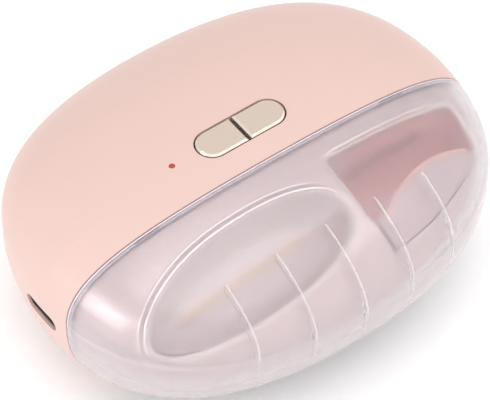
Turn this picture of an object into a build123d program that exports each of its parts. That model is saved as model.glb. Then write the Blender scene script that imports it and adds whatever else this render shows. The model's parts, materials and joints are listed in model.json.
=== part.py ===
from build123d import *
import os
from math import acos, cos, degrees, pi, radians, sin, tan

# Palm-sized electric nail clipper: a pebble-shaped body whose front third is a
# pull-off dust cover.  Millimetres.  +X along the body, -Y towards the dust
# cover, +Z up.  The origin is the middle of the flat underside.

# ---------------------------------------------------------------- body form
HALF_LENGTH = 46.0
HALF_DEPTH = 36.8
EQUATOR_Z = 25.4            # height of the widest outline above the flat base
TOP_RISE = 16.0             # crown above the equator
BOTTOM_DROP = 26.5          # keel below the equator, before the flat is cut
PLAN_WEIGHT = 0.96          # how full the outline is, seen from above
END_WEIGHT_TOP = 1.4        # how full the body is towards its two ends
END_WEIGHT_BOTTOM = 1.3
SIDE_WEIGHT_TOP = 0.86      # how full the body is towards its two sides
SIDE_WEIGHT_BOTTOM = 0.78

WALL = 1.8                  # housing and base cover
COVER_WALL = 1.5            # dust cover
FRAME_INSET = 2.0           # front frame's skin below the outer form
FRAME_WALL = 1.5
LINER_INSET = FRAME_INSET + FRAME_WALL + 0.1
SEAM_Y = -7.2               # plane where the dust cover meets the housing
SEAM_GAP = 0.2
BASE_SPLIT_Z = 5.4          # parting plane of housing and base cover
PART_GAP = 0.1              # between neighbours that don't move

# ------------------------------------------------------------ cover details
RIB_PITCH = 11.0
RIB_COUNT = 5
RIB_MIDDLE_X = -0.3
RIB_WIDTH = 0.7
RIB_START_Y = -24.0
RIB_CROWN = 0.8             # extra crown of the form that the ribs follow
RIB_TUCK = 0.15             # how far that form lies inside the body at the side
TAB_X = 27.3                # snap tabs, left and right
TAB_WIDTH = 5.5
TAB_OUTER_INSET = 1.1
TAB_INNER_INSET = 1.75
TAB_ROOT_Y = -8.6
TAB_END_Y = -6.2
RELIEF_INSET = 0.8
RELIEF_END_Y = -5.7
RELIEF_SIDE = 0.3

# ----------------------------------------------------------------- openings
BOWL_CENTRE = (-15.6, -22.9, 35.2)
BOWL_NORMAL = (-0.12, -0.5, 0.86)
BOWL_HALF_LENGTH = 22.3
BOWL_HALF_WIDTH = 8.9
BOWL_DEPTH = 11.0
BOWL_WALL = 1.2
BOWL_FLOOR_LENGTH = 16.5
BOWL_FLOOR_WIDTH = 4.6
MAT_THICKNESS = 1.0

SLOT_LEFT_X = 8.8
SLOT_RIGHT_X = 37.2
SLOT_REAR_Y = -12.2
SLOT_FRONT_LEFT_Y = -27.0
SLOT_FRONT_RIGHT_Y = -21.5
SLOT_CREST = (23.0, -21.4)  # rearmost part of the finger rest's edge
SLOT_CORNER = 1.6
SLOT_FLOOR_Z = 22.6
SLOT_WALL = 1.0

REST_LEFT = (9.0, -31.9)
REST_MIDDLE = (21.0, -29.8)
REST_RIGHT = (35.6, -22.4)
REST_THICKNESS = 0.8
REST_LIP = 0.6              # strip of frame between the rest and the slot

# ------------------------------------------------------------------ buttons
PILL_X = -0.4
PILL_Y = 1.3
PILL_LENGTH = 18.7
PILL_WIDTH = 6.3
PILL_GAP = 0.35             # round the buttons
PILL_SPLIT = 0.7            # between the two buttons
BUTTON_TOP_Z = EQUATOR_Z + TOP_RISE + 0.2
BUTTON_BEVEL = 0.35
BUTTON_FLOOR_Z = 38.7
BUTTON_LIP = 0.7
STEM_END_Z = 38.0
STEM_RADIUS = 0.9
BUTTON_OFFSET = 5.0         # stems and switches, left and right of the pill
MEMBRANE_Z = 37.35
MEMBRANE_THICKNESS = 0.55
SWITCH_TOP_Z = 37.2

# ------------------------------------------------------- boards and charging
BOARD_THICKNESS = 1.2
MAIN_BOARD_TOP_Z = 34.4
MAIN_BOARD_CENTRE = (-4.5, 6.9)
MAIN_BOARD_SIZE = (31.0, 18.4)
GEAR_NOTCH = (6.0, 2.4)     # in the board's front edge, clear of the cutter gear
LED_X = -15.5
LED_Y = 1.5
PIPE_RADIUS = 0.5
PORT_Y = 0.5
PORT_Z = 22.4
PORT_LENGTH = 8.94
PORT_HEIGHT = 3.16
PORT_DEPTH = 7.3
PORT_FACE_X = -45.2
PORT_SHELL = 0.3
CHARGE_BOARD_X = (-42.4, -29.6)
CHARGE_BOARD_HALF_Y = 7.4

# ----------------------------------------------------------- battery, drive
CELL_RADIUS = 7.0
CELL_LENGTH = 48.0
CELL_Y = 19.5
CELL_Z = 17.0

GEAR_MODULE = 0.5
PRESSURE_ANGLE = 25.0
GEAR_BACKLASH = 0.10
CUTTER_TEETH = 20
IDLER_TEETH = 18
PINION_TEETH = 12
GEAR_X = 4.6
GEAR_WIDTH = 3.6
CUTTER_Y = -5.6
CUTTER_Z = 29.0
MOTOR_Y = 3.0
MESH_CUTTER = GEAR_MODULE * (CUTTER_TEETH + IDLER_TEETH) / 2
MESH_PINION = GEAR_MODULE * (IDLER_TEETH + PINION_TEETH) / 2
GEAR_LINE = MESH_CUTTER + MESH_PINION
LINE_ANGLE = 180 - degrees(acos((MOTOR_Y - CUTTER_Y) / GEAR_LINE))
MOTOR_Z = CUTTER_Z - GEAR_LINE * sin(radians(LINE_ANGLE))
IDLER_Y = MOTOR_Y + MESH_PINION * cos(radians(LINE_ANGLE))
IDLER_Z = MOTOR_Z + MESH_PINION * sin(radians(LINE_ANGLE))

MOTOR_RADIUS = 7.75
MOTOR_X = (-18.0, 2.0)
MOTOR_SKIN = 0.8
MOTOR_CAP = 3.0
MOTOR_SHAFT_RADIUS = 0.75
IDLER_PIN_RADIUS = 0.75
CUTTER_SHAFT_RADIUS = 1.5
RUNNING = 0.05              # radial clearance of turning parts
DRUM_RADIUS = 4.4
DRUM_X = (13.4, 30.6)
DRUM_FLUTES = 10
FLUTE_RADIUS = 0.85
BUSH_RADIUS = 3.0
BUSH_LENGTH = 2.0
BUSH_X = (9.6, 32.4)
PLATE = 1.5
PLATE_X = (MOTOR_X[1] + RUNNING, BUSH_X[0])
GUARD_Y = -11.15
GUARD_THICKNESS = 0.6
GUARD_Z = (25.0, 33.0)
GUARD_SLOTS = 9
GUARD_PITCH = 1.9

# ----------------------------------------------------------------- chassis
DECK_Z = 5.8
DECK_THICKNESS = 1.5
DECK_INSET = 2.4
BASE_SCREWS = ((-25.0, 4.0), (25.0, 4.0), (-10.0, 17.5), (10.0, 17.5))
POSTS = ((-27.2, 8.5), (27.2, 8.5), (-23.2, -0.8))
POST_RADIUS = 2.1
SCREW_RADIUS = 0.9          # holes that a screw passes through freely
PILOT_RADIUS = 0.8
SHANK_RADIUS = 0.78
SCREW_HEAD_RADIUS = 1.7
SCREW_HEAD = 1.1
BASE_HEAD_Z = 3.6
BOARD_POSTS = ((-17.8, 13.6), (8.8, 13.6), (-18.0, -0.4))
GEARBOX_LUGS = ((6.5, 24.0), (-9.0, 21.0), (2.4, 30.6))  # y and z
LUG_RADIUS = 1.7
LEAD_RADIUS = 0.5


def octant(half_x, half_y, height, end_weight, side_weight, sx, sy, sz):
    """One eighth of the pebble, as a rational patch that closes at the tip of X."""
    belt = half_y * sy
    crown = height * sz
    tip = Vector(half_x * sx, 0, 0)
    rows = [
        [Vector(0, belt, 0), Vector(0, belt, crown), Vector(0, 0, crown)],
        [
            Vector(half_x * sx, belt, 0),
            Vector(half_x * sx, belt, crown),
            Vector(half_x * sx, 0, crown),
        ],
        [tip, tip, tip],
    ]
    middle = side_weight * (PLAN_WEIGHT + end_weight) / 2
    weights = [
        [1, side_weight, 1],
        [PLAN_WEIGHT, middle, end_weight],
        [1, side_weight, 1],
    ]
    return Face.make_bezier_surface(rows, weights)


def pebble(inset=0.0, tuck=0.0, crown=0.0):
    """The closed body form, moved inwards by inset and standing at its height."""
    halves = (
        (TOP_RISE - inset + crown, END_WEIGHT_TOP, SIDE_WEIGHT_TOP, 1),
        (BOTTOM_DROP - inset, END_WEIGHT_BOTTOM, SIDE_WEIGHT_BOTTOM, -1),
    )
    patches = [
        octant(HALF_LENGTH - inset, HALF_DEPTH - inset - tuck, height, end, side, sx, sy, sz)
        for height, end, side, sz in halves
        for sx in (1, -1)
        for sy in (1, -1)
    ]
    return Pos(0, 0, EQUATOR_Z) * Solid(Shell(patches))


def block(low, high):
    """A box between two corners."""
    size = [b - a for a, b in zip(low, high)]
    middle = [(a + b) / 2 for a, b in zip(low, high)]
    return Pos(*middle) * Box(*size, mode=Mode.PRIVATE)


def cavity(inset, floor_z):
    """The body form inside a wall, with a flat floor."""
    return pebble(inset) & block((-60, -60, floor_z), (60, 60, 60))


def rod(radius, x_from, x_to, y, z):
    """A round bar along X."""
    bar = Cylinder(radius, x_to - x_from, mode=Mode.PRIVATE)
    return Pos((x_from + x_to) / 2, y, z) * Rot(0, 90, 0) * bar


def post(radius, x, y, z_from, z_to):
    """A round bar along Z."""
    return Pos(x, y, (z_from + z_to) / 2) * Cylinder(radius, z_to - z_from, mode=Mode.PRIVATE)


def save(name, builder):
    """Label a finished piece and write its file."""
    builder.part.label = name
    export_step(builder.part, f"parts/{name}.step")


def gear_profile(teeth, tooth_angle):
    """Points of an involute gear's outline, with a tooth centred at tooth_angle."""
    pitch_r = GEAR_MODULE * teeth / 2
    base_r = pitch_r * cos(radians(PRESSURE_ANGLE))
    tip_r = pitch_r + 0.85 * GEAR_MODULE
    root_r = pitch_r - 1.2 * GEAR_MODULE
    half_tooth = (pi * GEAR_MODULE / 2 - GEAR_BACKLASH) / (2 * pitch_r)
    pitch_inv = tan(radians(PRESSURE_ANGLE)) - radians(PRESSURE_ANGLE)
    flank_radii = [max(base_r, root_r + 0.05), pitch_r - 0.1, pitch_r + 0.1, tip_r]
    flank = []
    for radius in flank_radii:
        pressure = acos(min(1.0, base_r / radius))
        flank.append((radius, half_tooth + pitch_inv - (tan(pressure) - pressure)))
    flank.insert(0, (root_r, flank[0][1] + 0.02))
    points = []
    for tooth in range(teeth):
        centre = radians(tooth_angle) + 2 * pi * tooth / teeth
        for radius, half in flank:
            points.append((radius * cos(centre - half), radius * sin(centre - half)))
        for radius, half in reversed(flank):
            points.append((radius * cos(centre + half), radius * sin(centre + half)))
    return points


os.makedirs("parts", exist_ok=True)

bowl_plane = Plane(origin=BOWL_CENTRE, x_dir=(1, 0, 0.14), z_dir=BOWL_NORMAL)
pill_plane = Plane((PILL_X, PILL_Y, BUTTON_FLOOR_Z))


# -------------------------------------------------- outlines used more than once
def bowl_form(wall):
    """The bowl's hollow, or with a wall its outside: three ellipses, lofted."""
    levels = (
        (6.0, BOWL_HALF_LENGTH, BOWL_HALF_WIDTH),
        (0.0, BOWL_HALF_LENGTH, BOWL_HALF_WIDTH),
        (-0.55 * BOWL_DEPTH, BOWL_HALF_LENGTH - 1.3, BOWL_HALF_WIDTH - 1.0),
        (-BOWL_DEPTH - wall, BOWL_FLOOR_LENGTH, BOWL_FLOOR_WIDTH),
    )
    with BuildPart() as form:
        for height, half_length, half_width in levels:
            with BuildSketch(bowl_plane.offset(height)):
                Ellipse(half_length + wall, half_width + wall)
        loft()
    return form.part


def slot_outline(grow):
    """The finger slot seen from above."""
    with BuildSketch() as outline:
        with BuildLine():
            Line((SLOT_LEFT_X, SLOT_FRONT_LEFT_Y), (SLOT_LEFT_X, SLOT_REAR_Y))
            Line((SLOT_LEFT_X, SLOT_REAR_Y), (SLOT_RIGHT_X, SLOT_REAR_Y))
            Line((SLOT_RIGHT_X, SLOT_REAR_Y), (SLOT_RIGHT_X - 0.6, SLOT_FRONT_RIGHT_Y))
            ThreePointArc(
                (SLOT_RIGHT_X - 0.6, SLOT_FRONT_RIGHT_Y),
                SLOT_CREST,
                (SLOT_LEFT_X, SLOT_FRONT_LEFT_Y),
            )
        make_face()
        fillet(outline.vertices(), SLOT_CORNER)
        if grow:
            offset(amount=grow)
    return outline.sketch


def rest_outline(shrink):
    """The crescent of the finger rest seen from above."""
    with BuildSketch() as outline:
        with BuildLine():
            ThreePointArc(REST_LEFT, REST_MIDDLE, REST_RIGHT)
            ThreePointArc(
                REST_RIGHT,
                (SLOT_CREST[0], SLOT_CREST[1] - REST_LIP),
                (SLOT_LEFT_X, SLOT_FRONT_LEFT_Y - REST_LIP),
            )
            Line((SLOT_LEFT_X, SLOT_FRONT_LEFT_Y - REST_LIP), REST_LEFT)
        make_face()
        if shrink:
            offset(amount=-shrink)
    return outline.sketch


# ------------------------------------------------------------ upper housing
with BuildPart() as upper_housing:
    add(pebble())
    add(cavity(WALL, 0), mode=Mode.SUBTRACT)
    split(bisect_by=Plane.XZ.offset(-SEAM_Y), keep=Keep.BOTTOM)
    split(bisect_by=Plane.XY.offset(BASE_SPLIT_Z + PART_GAP), keep=Keep.TOP)
    # posts for the chassis screws and for the main board
    posts = [post(POST_RADIUS, x, y, DECK_Z + DECK_THICKNESS + PART_GAP, 50) for x, y in POSTS]
    posts += [post(1.6, x, y, MAIN_BOARD_TOP_Z + PART_GAP, 50) for x, y in BOARD_POSTS]
    for column in posts:
        add(column & pebble(WALL - 0.4))
    for x, y in POSTS:
        add(post(PILOT_RADIUS, x, y, DECK_Z, DECK_Z + 9), mode=Mode.SUBTRACT)
    for x, y in BOARD_POSTS:
        add(post(PILOT_RADIUS, x, y, 30, MAIN_BOARD_TOP_Z + 3), mode=Mode.SUBTRACT)
    # opening for the two buttons
    with BuildSketch(pill_plane):
        SlotOverall(PILL_LENGTH + 2 * PILL_GAP, PILL_WIDTH + 2 * PILL_GAP)
    extrude(amount=6, mode=Mode.SUBTRACT)
    # hole for the light pipe
    add(post(PIPE_RADIUS + PART_GAP, LED_X, LED_Y, 36, 44), mode=Mode.SUBTRACT)
    # mouth of the charging port
    with BuildSketch(Plane.YZ.offset(-HALF_LENGTH - 1)):
        with Locations((PORT_Y, PORT_Z)):
            SlotOverall(PORT_LENGTH + 0.3, PORT_HEIGHT + 0.3)
    extrude(amount=4, mode=Mode.SUBTRACT)
    # pockets for the cover's snap tabs
    for side in (-1, 1):
        pocket = block(
            (side * TAB_X - TAB_WIDTH / 2 - RELIEF_SIDE, SEAM_Y - 1, EQUATOR_Z + 6),
            (side * TAB_X + TAB_WIDTH / 2 + RELIEF_SIDE, RELIEF_END_Y, 50),
        )
        add(pocket & pebble(RELIEF_INSET), mode=Mode.SUBTRACT)
save("upper_housing", upper_housing)

# --------------------------------------------------------------- base cover
with BuildPart() as base_cover:
    add(pebble())
    add(cavity(WALL, WALL), mode=Mode.SUBTRACT)
    split(bisect_by=Plane.XZ.offset(-SEAM_Y), keep=Keep.BOTTOM)
    split(bisect_by=Plane.XY.offset(BASE_SPLIT_Z), keep=Keep.BOTTOM)
    split(bisect_by=Plane.XY, keep=Keep.TOP)
    for x, y in BASE_SCREWS:
        boss = post(2.9, x, y, 0, DECK_Z - PART_GAP) & pebble(0.3)
        add(boss & block((-60, -60, 0), (60, 60, 20)))
        add(post(SCREW_RADIUS + PART_GAP, x, y, -1, 10), mode=Mode.SUBTRACT)
        add(post(SCREW_HEAD_RADIUS + 0.2, x, y, -1, BASE_HEAD_Z), mode=Mode.SUBTRACT)
save("base_cover", base_cover)

# -------------------------------------------------------------- dust cover
with BuildPart() as front_cover:
    add(pebble())
    for number in range(RIB_COUNT):
        rib_x = RIB_MIDDLE_X + (number - (RIB_COUNT - 1) / 2) * RIB_PITCH
        slab = block(
            (rib_x - RIB_WIDTH / 2, -50, EQUATOR_Z + 1),
            (rib_x + RIB_WIDTH / 2, RIB_START_Y, 50),
        )
        add(slab & pebble(tuck=RIB_TUCK, crown=RIB_CROWN))
    add(cavity(COVER_WALL, COVER_WALL), mode=Mode.SUBTRACT)
    split(bisect_by=Plane.XZ.offset(-SEAM_Y + SEAM_GAP), keep=Keep.TOP)
    split(bisect_by=Plane.XY, keep=Keep.TOP)
    tab_skin = pebble(TAB_OUTER_INSET) - pebble(TAB_INNER_INSET)
    for side in (-1, 1):
        tab = block(
            (side * TAB_X - TAB_WIDTH / 2, TAB_ROOT_Y, EQUATOR_Z + 6),
            (side * TAB_X + TAB_WIDTH / 2, TAB_END_Y, 50),
        )
        add(tab & tab_skin)
save("front_cover", front_cover)

# -------------------------------------------------------------- front frame
bowl_hollow = bowl_form(0)
bowl_outside = bowl_form(BOWL_WALL)
slot_hollow = extrude(Plane.XY.offset(SLOT_FLOOR_Z) * slot_outline(0), 25)
slot_outside = extrude(Plane.XY.offset(SLOT_FLOOR_Z - SLOT_WALL) * slot_outline(SLOT_WALL), 25)
rest_recess = extrude(Plane.XY.offset(EQUATOR_Z) * rest_outline(0), 20)
rest_slab = extrude(Plane.XY.offset(EQUATOR_Z) * rest_outline(0.15), 20)
FRAME_FLOOR_Z = COVER_WALL + 0.5
FRAME_REAR_Y = -3.2
with BuildPart() as front_frame:
    add(cavity(FRAME_INSET, FRAME_FLOOR_Z))
    add(cavity(FRAME_INSET + FRAME_WALL, FRAME_FLOOR_Z + FRAME_WALL), mode=Mode.SUBTRACT)
    split(bisect_by=Plane.XZ.offset(-FRAME_REAR_Y), keep=Keep.TOP)
    # the skirt behind the seam is cut away below the charging and deck level
    add(
        block((-60, SEAM_Y + PART_GAP, 0), (60, 0, DECK_Z + DECK_THICKNESS + 1)),
        mode=Mode.SUBTRACT,
    )
    # and it is notched round the charging port
    add(
        block((-60, SEAM_Y + PART_GAP, PORT_Z - 6), (-30, 0, PORT_Z + 4)),
        mode=Mode.SUBTRACT,
    )
    add(bowl_hollow, mode=Mode.SUBTRACT)
    add(slot_hollow, mode=Mode.SUBTRACT)
    add(rest_recess - pebble(FRAME_INSET + REST_THICKNESS), mode=Mode.SUBTRACT)
save("front_frame", front_frame)

# -------------------------------------------------------------- finger rest
with BuildPart() as finger_rest:
    add(rest_slab)
    add(pebble(FRAME_INSET - 0.05), mode=Mode.INTERSECT)
    add(pebble(FRAME_INSET + REST_THICKNESS - 0.03), mode=Mode.SUBTRACT)
save("finger_rest", finger_rest)

# ------------------------------------------------- clippings bowl and its mat
with BuildPart() as clippings_bowl:
    add(bowl_outside)
    add(bowl_hollow, mode=Mode.SUBTRACT)
    add(pebble(LINER_INSET), mode=Mode.INTERSECT)
save("clippings_bowl", clippings_bowl)

with BuildPart() as bowl_mat:
    with BuildSketch(bowl_plane.offset(-BOWL_DEPTH + PART_GAP)):
        Ellipse(BOWL_FLOOR_LENGTH - 0.4, BOWL_FLOOR_WIDTH - 0.4)
    extrude(amount=MAT_THICKNESS)
save("bowl_mat", bowl_mat)

# -------------------------------------------------------- finger slot liner
guard_middle_x = (DRUM_X[0] + DRUM_X[1]) / 2
with BuildPart() as slot_liner:
    add(slot_outside)
    add(slot_hollow, mode=Mode.SUBTRACT)
    add(pebble(LINER_INSET), mode=Mode.INTERSECT)
    with BuildSketch(Plane.XZ.offset(-SLOT_REAR_Y + 1)):
        with Locations((guard_middle_x, (GUARD_Z[0] + GUARD_Z[1]) / 2)):
            Rectangle(DRUM_X[1] - DRUM_X[0], GUARD_Z[1] - GUARD_Z[0] - 1.6)
    extrude(amount=-4, mode=Mode.SUBTRACT)
save("slot_liner", slot_liner)

with BuildPart() as blade_guard:
    with BuildSketch(Plane.XZ.offset(-GUARD_Y)):
        with Locations((guard_middle_x, (GUARD_Z[0] + GUARD_Z[1]) / 2)):
            RectangleRounded(DRUM_X[1] - DRUM_X[0] + 2, GUARD_Z[1] - GUARD_Z[0], 0.8)
            with GridLocations(GUARD_PITCH, 1, GUARD_SLOTS, 1):
                SlotOverall(4.6, 1.0, rotation=90, mode=Mode.SUBTRACT)
    extrude(amount=-GUARD_THICKNESS)
save("blade_guard", blade_guard)

# ------------------------------------------------------------------ buttons
with BuildPart() as lip_ring:
    with BuildSketch(pill_plane):
        SlotOverall(PILL_LENGTH + 2 * BUTTON_LIP, PILL_WIDTH + 2 * BUTTON_LIP)
    extrude(amount=3)
    add(pebble(WALL + 0.3), mode=Mode.INTERSECT)
button_lip = lip_ring.part

for name, side in (("left_button", -1), ("right_button", 1)):
    keep_low = (PILL_X + PILL_SPLIT / 2, -20, 30) if side > 0 else (-40, -20, 30)
    keep_high = (40, 20, 50) if side > 0 else (PILL_X - PILL_SPLIT / 2, 20, 50)
    with BuildPart() as button:
        with BuildSketch(pill_plane):
            SlotOverall(PILL_LENGTH, PILL_WIDTH)
        extrude(amount=BUTTON_TOP_Z - BUTTON_FLOOR_Z)
        add(block(keep_low, keep_high), mode=Mode.INTERSECT)
        chamfer(button.faces().sort_by(Axis.Z)[-1].edges(), BUTTON_BEVEL)
        add(button_lip & block(keep_low, keep_high))
        stem_x = PILL_X + side * BUTTON_OFFSET
        add(post(STEM_RADIUS, stem_x, PILL_Y, STEM_END_Z, BUTTON_FLOOR_Z + 0.5))
    save(name, button)

with BuildPart() as button_membrane:
    with BuildSketch(Plane((PILL_X, PILL_Y, MEMBRANE_Z))):
        RectangleRounded(PILL_LENGTH + 2.6, PILL_WIDTH + 2.6, 3)
        with Locations((-BUTTON_OFFSET, 0), (BUTTON_OFFSET, 0)):
            Circle(STEM_RADIUS + 0.4, mode=Mode.SUBTRACT)
    extrude(amount=MEMBRANE_THICKNESS)
save("button_membrane", button_membrane)

with BuildPart() as tact_switches:
    with BuildSketch(Plane((PILL_X, PILL_Y, MAIN_BOARD_TOP_Z))):
        with Locations((-BUTTON_OFFSET, 0), (BUTTON_OFFSET, 0)):
            RectangleRounded(4.4, 4.4, 0.4)
    extrude(amount=2.0)
    with BuildSketch(Plane((PILL_X, PILL_Y, MAIN_BOARD_TOP_Z))):
        with Locations((-BUTTON_OFFSET, 0), (BUTTON_OFFSET, 0)):
            Circle(0.8)
    extrude(amount=SWITCH_TOP_Z - MAIN_BOARD_TOP_Z)
save("tact_switches", tact_switches)

# ------------------------------------------------------------------- boards
board_x, board_y = MAIN_BOARD_CENTRE
with BuildPart() as main_board:
    with BuildSketch(Plane.XY.offset(MAIN_BOARD_TOP_Z - BOARD_THICKNESS)):
        with Locations(MAIN_BOARD_CENTRE):
            RectangleRounded(*MAIN_BOARD_SIZE, 1)
        with Locations(*BOARD_POSTS):
            Circle(SCREW_RADIUS + PART_GAP, mode=Mode.SUBTRACT)
        with Locations((GEAR_X + GEAR_WIDTH / 2, board_y - MAIN_BOARD_SIZE[1] / 2)):
            Rectangle(*GEAR_NOTCH, mode=Mode.SUBTRACT)
    extrude(amount=BOARD_THICKNESS)
save("main_board", main_board)

with BuildPart() as board_parts:
    with BuildSketch(Plane((board_x, board_y + 2, MAIN_BOARD_TOP_Z))):
        with Locations((-4, 0)):
            Rectangle(5, 5)
        with Locations((4, 1), (4, 4)):
            Rectangle(3, 1.6)
        with GridLocations(2.2, 2.4, 3, 2):
            with Locations((-9.5, 0.5)):
                Rectangle(1.2, 0.8)
    extrude(amount=0.9)
save("board_parts", board_parts)

with BuildPart() as indicator_led:
    with BuildSketch(Plane((LED_X, LED_Y, MAIN_BOARD_TOP_Z))):
        Rectangle(1.6, 0.9)
    extrude(amount=0.6)
save("indicator_led", indicator_led)

with BuildPart() as light_pipe:
    add(post(PIPE_RADIUS, LED_X, LED_Y, MAIN_BOARD_TOP_Z + 0.8, 44))
    add(post(1.1, LED_X, LED_Y, MAIN_BOARD_TOP_Z + 0.8, 38.6))
    add(pebble(0.05), mode=Mode.INTERSECT)
save("light_pipe", light_pipe)

charge_mid_x = (CHARGE_BOARD_X[0] + CHARGE_BOARD_X[1]) / 2
charge_top_z = PORT_Z - PORT_HEIGHT / 2
with BuildPart() as charge_board:
    with BuildSketch(Plane((charge_mid_x, PORT_Y, charge_top_z - BOARD_THICKNESS))):
        RectangleRounded(CHARGE_BOARD_X[1] - CHARGE_BOARD_X[0], 2 * CHARGE_BOARD_HALF_Y, 1)
    extrude(amount=BOARD_THICKNESS)
save("charge_board", charge_board)

with BuildPart() as port_shell:
    with BuildSketch(Plane.YZ.offset(PORT_FACE_X)):
        with Locations((PORT_Y, PORT_Z)):
            SlotOverall(PORT_LENGTH, PORT_HEIGHT)
    extrude(amount=PORT_DEPTH)
    with BuildSketch(Plane.YZ.offset(PORT_FACE_X)):
        with Locations((PORT_Y, PORT_Z)):
            SlotOverall(PORT_LENGTH - 2 * PORT_SHELL, PORT_HEIGHT - 2 * PORT_SHELL)
    extrude(amount=PORT_DEPTH - 1.0, mode=Mode.SUBTRACT)
save("port_shell", port_shell)

with BuildPart() as port_tongue:
    with BuildSketch(Plane.YZ.offset(PORT_FACE_X + 1.0)):
        with Locations((PORT_Y, PORT_Z)):
            RectangleRounded(6.7, 0.7, 0.2)
    extrude(amount=PORT_DEPTH - 2.1)
save("port_tongue", port_tongue)

# ------------------------------------------------------------------ battery
with BuildPart() as battery_cell:
    with BuildSketch(Plane.YZ.offset(-CELL_LENGTH / 2)):
        with Locations((CELL_Y, CELL_Z)):
            Circle(CELL_RADIUS)
    extrude(amount=CELL_LENGTH)
    fillet(battery_cell.edges().filter_by(GeomType.CIRCLE), 0.8)
save("battery_cell", battery_cell)

# -------------------------------------------------------------------- motor
with BuildPart() as motor_can:
    with BuildSketch(Plane.YZ.offset(MOTOR_X[0] + MOTOR_CAP)):
        with Locations((MOTOR_Y, MOTOR_Z)):
            Circle(MOTOR_RADIUS)
    extrude(amount=MOTOR_X[1] - MOTOR_X[0] - MOTOR_CAP)
    add(
        rod(MOTOR_RADIUS - MOTOR_SKIN, MOTOR_X[0], MOTOR_X[1] - MOTOR_SKIN, MOTOR_Y, MOTOR_Z),
        mode=Mode.SUBTRACT,
    )
    add(rod(2.4, MOTOR_X[1] - MOTOR_SKIN, MOTOR_X[1] + 1.2, MOTOR_Y, MOTOR_Z))
    add(
        rod(MOTOR_SHAFT_RADIUS + RUNNING, MOTOR_X[0], MOTOR_X[1] + 2, MOTOR_Y, MOTOR_Z),
        mode=Mode.SUBTRACT,
    )
save("motor_can", motor_can)

with BuildPart() as motor_end_cap:
    add(rod(MOTOR_RADIUS, MOTOR_X[0], MOTOR_X[0] + MOTOR_CAP, MOTOR_Y, MOTOR_Z))
    add(rod(2.4, MOTOR_X[0] - 1.4, MOTOR_X[0], MOTOR_Y, MOTOR_Z))
    add(
        rod(MOTOR_SHAFT_RADIUS + RUNNING, MOTOR_X[0] - 0.6, MOTOR_X[1], MOTOR_Y, MOTOR_Z),
        mode=Mode.SUBTRACT,
    )
save("motor_end_cap", motor_end_cap)

with BuildPart() as motor_magnets:
    add(rod(MOTOR_RADIUS - MOTOR_SKIN, MOTOR_X[0] + 5, MOTOR_X[1] - 3, MOTOR_Y, MOTOR_Z))
    add(rod(5.4, MOTOR_X[0], MOTOR_X[1], MOTOR_Y, MOTOR_Z), mode=Mode.SUBTRACT)
    add(
        block((-30, MOTOR_Y - 3.5, MOTOR_Z - 10), (10, MOTOR_Y + 3.5, MOTOR_Z + 10)),
        mode=Mode.SUBTRACT,
    )
save("motor_magnets", motor_magnets)

with BuildPart() as motor_rotor:
    with BuildSketch(Plane.YZ.offset(MOTOR_X[0] + 6)):
        with Locations((MOTOR_Y, MOTOR_Z)):
            Circle(5.0)
            with PolarLocations(4.4, 3):
                Rectangle(2.4, 1.2, mode=Mode.SUBTRACT)
    extrude(amount=10)
    add(
        rod(MOTOR_SHAFT_RADIUS, MOTOR_X[0], MOTOR_X[1], MOTOR_Y, MOTOR_Z),
        mode=Mode.SUBTRACT,
    )
save("motor_rotor", motor_rotor)

with BuildPart() as motor_shaft:
    add(rod(MOTOR_SHAFT_RADIUS, MOTOR_X[0] - 0.3, GEAR_X + GEAR_WIDTH, MOTOR_Y, MOTOR_Z))
save("motor_shaft", motor_shaft)

with BuildPart() as motor_terminals:
    for side in (-1, 1):
        add(
            block(
                (MOTOR_X[0] - 2.0, MOTOR_Y + side * 4.6 - 0.8, MOTOR_Z + 3.0),
                (MOTOR_X[0], MOTOR_Y + side * 4.6 + 0.8, MOTOR_Z + 3.3),
            )
        )
save("motor_terminals", motor_terminals)

# --------------------------------------------------------------- gear train
gears = (
    ("motor_pinion", PINION_TEETH, LINE_ANGLE, MOTOR_Y, MOTOR_Z, MOTOR_SHAFT_RADIUS, 0),
    ("idler_gear", IDLER_TEETH, LINE_ANGLE + 180 / IDLER_TEETH, IDLER_Y, IDLER_Z,
     IDLER_PIN_RADIUS, RUNNING),
    ("cutter_gear", CUTTER_TEETH, LINE_ANGLE + 180, CUTTER_Y, CUTTER_Z,
     CUTTER_SHAFT_RADIUS, 0),
)
for name, teeth, tooth_angle, gear_y, gear_z, bore, clearance in gears:
    with BuildPart() as gear:
        with BuildSketch(Plane.YZ.offset(GEAR_X)):
            with Locations((gear_y, gear_z)):
                Polygon(*gear_profile(teeth, tooth_angle), align=None)
                Circle(bore + clearance, mode=Mode.SUBTRACT)
        extrude(amount=GEAR_WIDTH)
    save(name, gear)

with BuildPart() as idler_pin:
    add(rod(IDLER_PIN_RADIUS, PLATE_X[0], PLATE_X[1] + PLATE, IDLER_Y, IDLER_Z))
save("idler_pin", idler_pin)

# ------------------------------------------------------------------- cutter
with BuildPart() as cutter_shaft:
    add(
        rod(CUTTER_SHAFT_RADIUS, GEAR_X - 0.2, BUSH_X[1] + BUSH_LENGTH + 0.6, CUTTER_Y, CUTTER_Z)
    )
save("cutter_shaft", cutter_shaft)

with BuildPart() as cutter_drum:
    with BuildSketch(Plane.YZ.offset(DRUM_X[0])):
        with Locations((CUTTER_Y, CUTTER_Z)):
            Circle(DRUM_RADIUS)
            with PolarLocations(DRUM_RADIUS + 0.1, DRUM_FLUTES):
                Circle(FLUTE_RADIUS, mode=Mode.SUBTRACT)
            Circle(CUTTER_SHAFT_RADIUS, mode=Mode.SUBTRACT)
    extrude(amount=DRUM_X[1] - DRUM_X[0])
save("cutter_drum", cutter_drum)

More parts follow.
